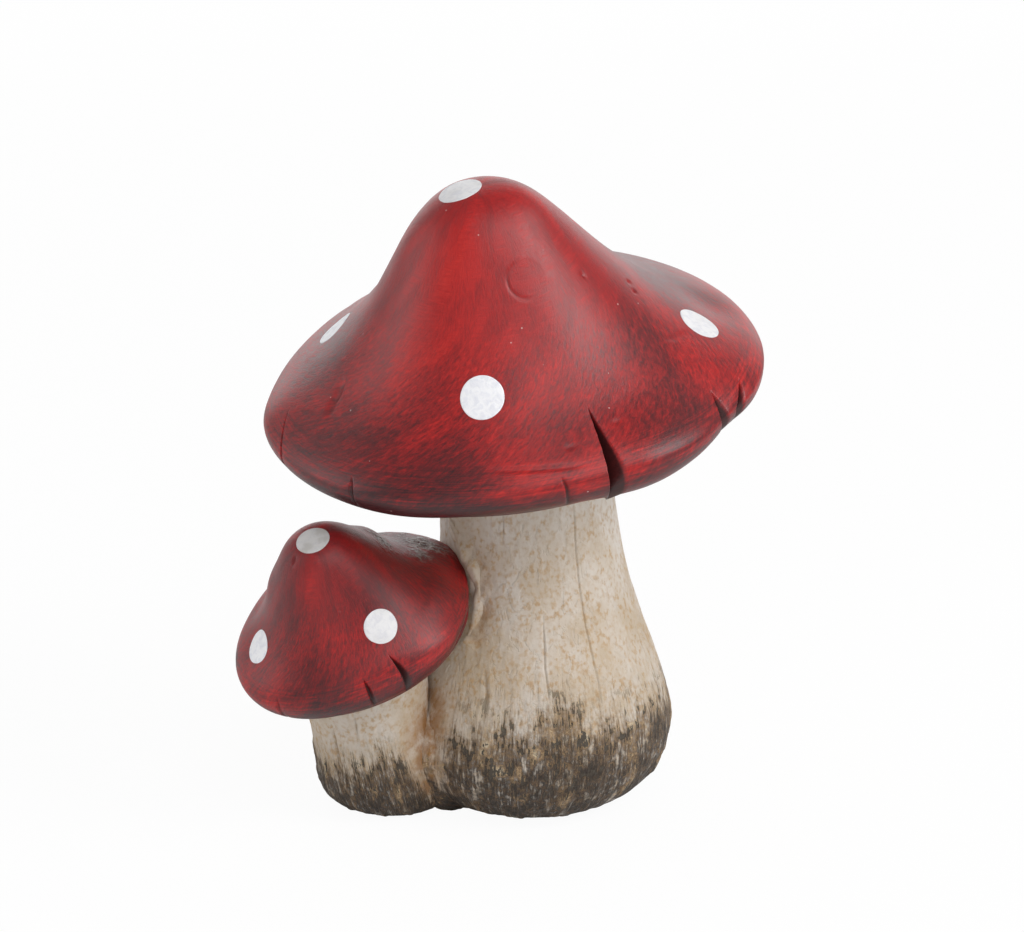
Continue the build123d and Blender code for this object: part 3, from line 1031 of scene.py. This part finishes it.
def valley_line(side):
    """Where the outlines of the two stems cross, on the front (1) or the back (-1)."""
    heights = np.linspace(*stem_lute_heights, valley_points)
    one = stem_centre(large_column, heights)
    other = stem_centre(small_column, heights)
    gap = np.linalg.norm(other - one, axis=-1)
    along = (other - one) / gap[:, None]
    reach = stem_radius(large_column, heights)
    distance = (reach**2 - stem_radius(small_column, heights) ** 2 + gap**2) / (2 * gap)
    across = side * np.sqrt(np.maximum(reach**2 - distance**2, 0))
    aside = np.stack([-along[:, 1], along[:, 0]], -1)
    place = one + along * distance[:, None] + aside * across[:, None]
    return np.concatenate([place, heights[:, None]], -1)


def sunk_valley(line):
    """Middle of the bead in a valley, sunk in between the two stems."""
    centres = stem_centre(large_column, line[:, 2]) + stem_centre(small_column, line[:, 2])
    sunk = line.copy()
    sunk[:, :2] += resampled(valley_sinks, len(line))[:, None] * unit(centres / 2 - line[:, :2])
    return sunk


def slip_line():
    """Line of the slip down the large stem, close to its face, with its radii."""
    azimuths, heights, radii = np.array(slip_course).T
    known = np.linspace(0, 1, len(radii))
    fine = np.linspace(0, 1, slip_points)
    azimuth = np.polyval(np.polyfit(known, azimuths, slip_course_power), fine)
    height = np.polyval(np.polyfit(known, heights, slip_course_power), fine)
    line = stem_point(large_column, height, np.radians(azimuth), slip_stand)
    return line, resampled(radii, slip_points)


# Materials

def screen(red, green, blue):
    """Linear colour of a screen colour."""
    shares = np.array([red, green, blue]) / 255
    linear = np.where(shares <= 0.04045, shares / 12.92, ((shares + 0.055) / 1.055) ** 2.4)
    return (*linear.tolist(), 1.0)


class Nodes:
    """Node tree of a material or a world."""

    def __init__(self, owner):
        owner.use_nodes = True
        self.nodes = owner.node_tree.nodes
        self.links = owner.node_tree.links

    def feed(self, socket, value):
        """Links an input to a field or an output, or sets a plain value on it."""
        source = value.socket if isinstance(value, Field) else value
        if isinstance(source, bpy.types.NodeSocket):
            self.links.new(source, socket)
        else:
            socket.default_value = source

    def node(self, kind, inputs, **settings):
        """New node with its settings made and its inputs fed."""
        made = self.nodes.new(kind)
        for key, value in settings.items():
            setattr(made, key, value)
        for key, value in inputs.items():
            self.feed(made.inputs[key], value)
        return made

    def math(self, operation, first, second):
        """Arithmetic on two numbers."""
        made = self.node("ShaderNodeMath", {0: first, 1: second}, operation=operation)
        return Field(self, made.outputs[0])


class Field:
    """Number that varies over a surface and is added and multiplied as a plain one is."""

    def __init__(self, tree, socket):
        self.tree = tree
        self.socket = socket

    def __add__(self, other):
        return self.tree.math("ADD", self, other)

    def __sub__(self, other):
        return self.tree.math("SUBTRACT", self, other)

    def __mul__(self, other):
        return self.tree.math("MULTIPLY", self, other)

    def ramp(self, low, high, start=0.0, end=1.0):
        """Smooth rise from start to end as the number goes from low to high."""
        inputs = {"Value": self, "From Min": low, "From Max": high, "To Min": start, "To Max": end}
        made = self.tree.node("ShaderNodeMapRange", inputs, interpolation_type="SMOOTHSTEP")
        return Field(self.tree, made.outputs["Result"])


class Paint(Nodes):
    """Material round a principled shader, with colours as they look on a screen."""

    def __init__(self, name):
        self.material = bpy.data.materials.new(name)
        super().__init__(self.material)
        self.shader = self.nodes["Principled BSDF"]

    def vector(self, name):
        """Vector that a mesh carries at its points."""
        return self.node("ShaderNodeAttribute", {}, attribute_name=name).outputs["Vector"]

    def value(self, name):
        """Number that a mesh carries at its points."""
        return Field(self, self.node("ShaderNodeAttribute", {}, attribute_name=name).outputs["Fac"])

    def place(self):
        """Place in the object's own frame, in metres."""
        return self.node("ShaderNodeTexCoord", {}).outputs["Object"]

    def stretched(self, vector, stretch):
        """Vector with each axis scaled."""
        return self.node("ShaderNodeVectorMath", {0: vector, 1: stretch}, operation="MULTIPLY").outputs[0]

    def noise(self, vector, stretch, detail, roughness, distortion=0.0):
        """Noise with a number of features per unit along each axis."""
        inputs = {
            "Vector": self.stretched(vector, stretch),
            "Scale": 1.0,
            "Detail": detail,
            "Roughness": roughness,
            "Distortion": distortion,
        }
        return Field(self, self.node("ShaderNodeTexNoise", inputs).outputs["Fac"])

    def specks(self, vector, density, size, share):
        """Small round dots, on a share of the cells."""
        inputs = {"Vector": self.stretched(vector, (density, density, density)), "Scale": 1.0}
        cells = self.node("ShaderNodeTexVoronoi", inputs)
        chance = self.node("ShaderNodeSeparateColor", {0: cells.outputs["Color"]}).outputs[0]
        dot = Field(self, cells.outputs["Distance"]).ramp(size, size * 0.6)
        return dot * self.math("LESS_THAN", chance, share)

    def blend(self, factor, first, second):
        """Number between two numbers."""
        made = self.node("ShaderNodeMix", {"Factor": factor, "A": first, "B": second})
        return Field(self, made.outputs["Result"])

    def layer(self, factor, under, over):
        """Colour laid over another by a factor."""
        under, over = (screen(*each) if isinstance(each, tuple) else each for each in (under, over))
        return self.node("ShaderNodeMix", {0: factor, 6: under, 7: over}, data_type="RGBA").outputs[2]

    def shades(self, value, stops):
        """Colour along a scale of stops."""
        made = self.node("ShaderNodeValToRGB", {0: value})
        elements = made.color_ramp.elements
        while len(elements) < len(stops):
            elements.new(0.5)
        for element, (position, colour) in zip(elements, stops):
            element.position = position
            element.color = screen(*colour)
        return made.outputs["Color"]

    def finish(self, colour, roughness, relief, relief_depth):
        """Connects colour, roughness and a fine relief whose depth is in metres."""
        bump = self.node("ShaderNodeBump", {"Strength": 1.0, "Distance": relief_depth, "Height": relief})
        self.feed(self.shader.inputs["Normal"], bump.outputs["Normal"])
        self.feed(self.shader.inputs["Base Color"], colour)
        self.feed(self.shader.inputs["Roughness"], roughness)
        return self.material


def cap_paint():
    """Red satin paint brushed over a dark wash, darker at the lip, with painted shade under the lip, in the
    cuts and in some dark patches; the underside is bare cream clay.
    """
    paint = Paint("cap_paint")
    brush = paint.vector("brush_place")
    slanted = paint.vector("slant_place")
    station = paint.value("station")
    hairs = paint.noise(brush, (2.2, 2.2, 0.4), 4, 0.6, 0.2)
    dabs = paint.noise(slanted, (1.5, 1.5, 0.6), 5, 0.65, 0.5)
    rim_strokes = paint.noise(brush, (0.17, 0.17, 1.6), 5, 0.66, 0.5)
    patches = paint.noise(slanted, (0.11, 0.11, 0.07), 4, 0.55, 0.5)
    dome_strokes = paint.blend(patches.ramp(0.44, 0.58), hairs, rim_strokes)
    strokes = paint.blend(station.ramp(0.34, 0.6), dome_strokes, dabs)
    strokes = paint.blend(station.ramp(0.84, 0.96, 0.0, 0.6), strokes, rim_strokes)
    strength = station.ramp(0.25, 0.65, 0.38, 0.95) + station.ramp(0.86, 0.97, 0.0, 0.8)
    tone = (strokes - 0.5) * strength + (patches - 0.5) * 0.5 + 0.53
    # Add the brush patches and painted shade, and darken towards and under the lip: partly the paint's darker
    # rim, partly painted shade under the turned-down lip
    tone = tone + paint.value("bright") * 0.42 - station.ramp(0.93, 1.25, 0.0, 0.24)
    colour = paint.shades(tone, (
        (0.12, (60, 23, 26)),
        (0.34, (104, 20, 24)),
        (0.52, (147, 20, 22)),
        (0.68, (180, 25, 23)),
        (0.9, (206, 40, 30)),
    ))
    wash = paint.noise(slanted, (1.1, 1.1, 0.7), 6, 0.72, 0.4)
    washed = wash.ramp(0.53, 0.7) * station.ramp(0.3, 0.8, 0.12, 0.5)
    colour = paint.layer(washed, colour, (60, 24, 27))
    scratches = paint.noise(slanted, (4.0, 4.0, 1.2), 3, 0.6)
    colour = paint.layer(scratches.ramp(0.57, 0.72, 0.0, 0.3), colour, (84, 24, 29))
    grit = paint.noise(paint.place(), (900, 900, 900), 3, 0.6)
    bare = paint.value("worn") * grit.ramp(0.3, 0.6, 0.35, 1.0)
    clay_grey = paint.layer(grit.ramp(0.4, 0.6), (72, 58, 57), (152, 139, 138))
    colour = paint.layer(bare.ramp(0.25, 0.7, 0.0, 0.85), colour, clay_grey)
    # Splits, creases, pits and the bare seat's groove are darkened: painted shade in the recesses
    colour = paint.layer(paint.value("cut").ramp(0.15, 1.1, 0.0, 0.9), colour, (48, 24, 24))
    dust = paint.specks(paint.place(), 420.0, 0.1, 0.05)
    colour = paint.layer(dust * 0.65, colour, (205, 176, 172))
    clay = paint.layer(patches, (176, 158, 132), (204, 192, 172))
    colour = paint.layer(station.ramp(1.97, 2.02), colour, clay)
    roughness = strokes.ramp(0.3, 0.75, 0.35, 0.46)
    relief = strokes * 0.5 + scratches * 0.3 + bare * (grit * 6.0)
    paint.shader.inputs["Specular IOR Level"].default_value = 0.48
    return paint.finish(colour, roughness, relief, enamel_relief)


def clay_paint(name, ochre_share):
    """Cream bisque with ochre specks, brown stain and painted shade along the seams and valleys, painted
    shade in the cracks, a lighter cool grey of painted shade towards the top, and a dark, dry-brushed foot
    with pale lumps.
    """
    paint = Paint(name)
    place = paint.place()
    around = paint.vector("round_place")
    height = paint.value("height")
    clouds = paint.noise(place, (90, 90, 60), 4, 0.55)
    # Greyer in random clouds, and towards the top a lighter, cooler grey: painted shade under the cap
    grey_and_shade_tint = clouds.ramp(0.35, 0.65, 0.0, 0.75) + height.ramp(42.0, 72.0, 0.0, 0.5)
    colour = paint.layer(grey_and_shade_tint, (187, 170, 148), (206, 198, 189))
    grain = paint.noise(place, (950, 950, 760), 2, 0.5)
    blots = paint.noise(place, (230, 230, 190), 5, 0.65)
    ochre = grain.ramp(0.42, 0.72) * blots.ramp(0.34, 0.6, 0.25, 1.0)
    colour = paint.layer(ochre * ochre_share, colour, (174, 137, 88))
    veil = paint.noise(place, (330, 330, 270), 4, 0.6).ramp(0.52, 0.7, 0.0, 0.4)
    colour = paint.layer(veil, colour, (206, 199, 190))
    # Brown stain and painted shade along the slip and in the valleys
    stain_and_shade = paint.value("stain_and_shade") * blots.ramp(0.38, 0.58, 0.3, 1.0)
    colour = paint.layer(stain_and_shade * 0.95, colour, (142, 97, 48))
    # Cracks are darkened brown: painted shade along them
    colour = paint.layer(paint.value("cut").ramp(0.12, 0.5, 0.0, 0.5), colour, (124, 96, 62))
    drift = paint.noise(around, (0.12, 0.12, 0.03), 3, 0.6) - 0.5
    mottle = paint.noise(around, (0.3, 0.3, 0.22), 4, 0.6) - 0.5
    streaks = paint.noise(around, (1.2, 1.2, 0.19), 4, 0.62) - 0.5
    hairs = paint.noise(around, (3.0, 3.0, 0.36), 3, 0.6) - 0.5
    crumbs = paint.noise(around, (0.85, 0.85, 0.8), 4, 0.65) - 0.5
    # The dark foot reaches higher where the stain and painted shade lie
    level = height + paint.value("stain_and_shade") * 14.0 - drift * 26.0
    hair_zone = level.ramp(43.0, 27.0)
    umber_zone = level.ramp(39.5, 13.5)
    cover = umber_zone + mottle * 1.9 + streaks * 1.9 + hairs * 1.2 + crumbs * 1.2
    cover = cover.ramp(0.18, 0.98) * hair_zone * 0.97
    depth = height.ramp(30.0, 3.0, 0.5, 0.26)
    tone = depth + streaks * 1.6 + hairs * 0.7 + crumbs * 2.1 + mottle * 2.0 + paint.value("knots") * 0.8
    earth = paint.shades(tone, (
        (0.12, (30, 26, 24)),
        (0.34, (74, 57, 42)),
        (0.55, (119, 94, 66)),
        (0.75, (168, 141, 104)),
        (0.95, (198, 181, 153)),
    ))
    colour = paint.layer(cover, colour, earth)
    black = streaks * 1.5 + hairs * 1.2 + crumbs * 1.2 + mottle * 2.4 + umber_zone * 0.18
    black = black.ramp(0.25, 0.41) * level.ramp(37.0, 23.0, 0.0, 0.9)
    colour = paint.layer(black, colour, (36, 32, 30))
    flakes = paint.noise(place, (240, 240, 130), 4, 0.6, 0.6).ramp(0.5, 0.54)
    relief = grain * 0.45 + flakes * 0.22 + streaks * hair_zone * 1.4 + crumbs * umber_zone * 2.0
    roughness = grain.ramp(0.3, 0.7, 0.6, 0.78)
    return paint.finish(colour, roughness, relief, clay_relief)


def spot_enamel():
    """White paint with faint pearl mottling and a thin worn edge, greyed on some spots by painted shade and a
    smudge.
    """
    paint = Paint("spot_enamel")
    place = paint.place()
    mottle = paint.noise(place, (620, 620, 620), 4, 0.6, 0.8)
    clouds = paint.noise(place, (240, 240, 240), 3, 0.5)
    colour = paint.layer(mottle.ramp(0.4, 0.66), (247, 247, 250), (232, 233, 240))
    colour = paint.layer(clouds.ramp(0.5, 0.72, 0.0, 0.5), colour, (250, 250, 251))
    # Some spots are greyed: painted shade on those that catch less light, partly a smudge on the small cap's
    # top spot
    cloudy_share = paint.blend(clouds.ramp(0.45, 0.6), 0.75, 1.0)
    colour = paint.layer(paint.value("shade_and_smudge") * cloudy_share, colour, (168, 163, 156))
    worn = paint.value("spot_share") + mottle * 0.02
    colour = paint.layer(worn.ramp(0.995, 1.01, 0.0, 0.6), colour, (150, 120, 124))
    return paint.finish(colour, mottle.ramp(0.35, 0.7, 0.4, 0.55), mottle, enamel_relief)


# The ornament
cap_red = cap_paint()
stem_cream = clay_paint("stem_clay", ochre_share=0.7)
slip_cream = clay_paint("slip_clay", ochre_share=0.9)
spot_white = spot_enamel()

large_cap = cap_piece("large_cap_shell", large)
dress(large_cap, "large_cap", cap_red)
small_cap = cap_piece("small_cap_shell", small, neighbour=large_column)
dress(small_cap, "small_cap", cap_red)
for cap in (large, small):
    for seed, (label, (share, azimuth, shade_and_smudge)) in enumerate(cap.spots.items(), cap.spot_seed):
        disc = spot_piece(f"{cap.name}_spot_{label}", cap, share, azimuth, shade_and_smudge, seed)
        dress(disc, f"{cap.name}_cap_spot_{label}", spot_white)

valleys = {"front": valley_line(1), "back": valley_line(-1)}
slip_seam, slip_radii = slip_line()
# Brown stain and painted shade run beside the slip and along both valleys
slip_edge = slip_seam + np.array([slip_stain_and_shade_shift, 0, 0])
stain_and_shade_places = [(slip_edge, slip_stain_and_shade_spread)] + [(line, valley_stain_and_shade_spread) for line in valleys.values()]
large_stem = stem_piece("large_stem_column", large_column, stain_and_shade_places, [slip_seam])
dress(large_stem, "large_stem", stem_cream)
small_stem = stem_piece("small_stem_column", small_column, stain_and_shade_places, [], neighbour=large_column)
dress(small_stem, "small_stem", stem_cream)

for label, line in valleys.items():
    bead_radii = resampled(valley_radii, len(line))
    bead = tube_piece(
        f"{label}_valley_slip", sunk_valley(line), bead_radii, lump=0.5, seed=seeds["valley slip"], stain_and_shade=0.7,
    )
    dress(bead, f"{label}_stem_lute", slip_cream)
roll = tube_piece("cap_slip_roll", slip_seam, slip_radii, lump=1.2, seed=seeds["cap slip"], stain_and_shade=0.3)
dress(roll, "cap_lute", slip_cream)
for cap in (large, small):
    dress(neck_ring(f"{cap.name}_neck_slip", cap), f"{cap.name}_neck_lute", slip_cream)


# Floor, light and camera

floor_shade = 0.9
floor_glow_share = 0.95
world_strength = 0.36
# Lamps are in metres and watts
lamp_aim = (0.0, 0.0, 0.08)


def white_ground():
    """Pale floor that stays white to the camera and keeps a soft shadow."""
    ground = Paint("pale_floor")
    ground.shader.inputs["Base Color"].default_value = (floor_shade, floor_shade, floor_shade, 1)
    ground.shader.inputs["Roughness"].default_value = 0.9
    glow = ground.node("ShaderNodeEmission", {"Strength": 1.0})
    seen = ground.node("ShaderNodeLightPath", {}).outputs["Is Camera Ray"]
    share = ground.math("MULTIPLY", seen, floor_glow_share)
    mix = ground.node("ShaderNodeMixShader", {0: share, 1: ground.shader.outputs[0], 2: glow.outputs[0]})
    ground.feed(ground.nodes["Material Output"].inputs["Surface"], mix.outputs[0])
    return ground.material


def white_world():
    """Even pale surroundings, white to the camera."""
    world = bpy.data.worlds.new("studio")
    bpy.context.scene.world = world
    tree = Nodes(world)
    path = tree.node("ShaderNodeLightPath", {})
    seen = tree.math("MAXIMUM", path.outputs["Is Camera Ray"], path.outputs["Is Transmission Ray"])
    strength = tree.node("ShaderNodeMapRange", {"Value": seen, "To Min": world_strength, "To Max": 1.0})
    background = tree.nodes["Background"]
    background.inputs["Color"].default_value = (1, 1, 1, 1)
    tree.feed(background.inputs["Strength"], strength.outputs["Result"])


def soft_lamp(name, place, width, height, power):
    """Soft lamp with a flat rectangular face, aimed at the ornament."""
    data = bpy.data.lights.new(name, "AREA")
    data.shape = "RECTANGLE"
    data.size = width
    data.size_y = height
    data.energy = power
    lamp = bpy.data.objects.new(name, data)
    lamp.location = place
    direction = Vector(lamp_aim) - Vector(place)
    lamp.rotation_euler = direction.to_track_quat("-Z", "Y").to_euler()
    bpy.context.scene.collection.objects.link(lamp)


floor_mesh = bpy.data.meshes.new("floor")
floor_mesh.from_pydata([(-3, -3, 0), (3, -3, 0), (3, 3, 0), (-3, 3, 0)], [], [(0, 1, 2, 3)])
floor = bpy.data.objects.new("floor", floor_mesh)
bpy.context.scene.collection.objects.link(floor)
floor_mesh.materials.append(white_ground())
white_world()
soft_lamp("right_key", (0.95, -0.36, 0.8), 0.6, 0.6, 8.2)
soft_lamp("front_top", (0.22, -0.85, 1.0), 0.7, 0.7, 4.1)
soft_lamp("front_fill", (-0.35, -1.15, 0.35), 0.7, 0.7, 1.0)
soft_lamp("left_wall", (-1.1, 0.1, 0.35), 0.7, 0.6, 2.3)
soft_lamp("back_panel", (0.0, 1.25, 0.42), 1.8, 0.75, 5.6)

camera_data = bpy.data.cameras.new("camera")
camera = bpy.data.objects.new("camera", camera_data)
bpy.context.scene.collection.objects.link(camera)
bpy.context.scene.camera = camera
image_width = 1024
focal_pixels = 3456
camera_elevation = 18.0
camera_distance = 800.0
camera_target = np.array([-2.691, 0.0, 77.524])
camera_data.sensor_width = 36.0
camera_data.lens = focal_pixels * camera_data.sensor_width / image_width
back_off = np.array([0, -np.cos(radians(camera_elevation)), np.sin(radians(camera_elevation))])
camera.location = (camera_target + origin_move + camera_distance * back_off) * millimetre
camera.rotation_euler = (radians(90 - camera_elevation), 0, 0)
bpy.context.scene.view_settings.view_transform = "Standard"
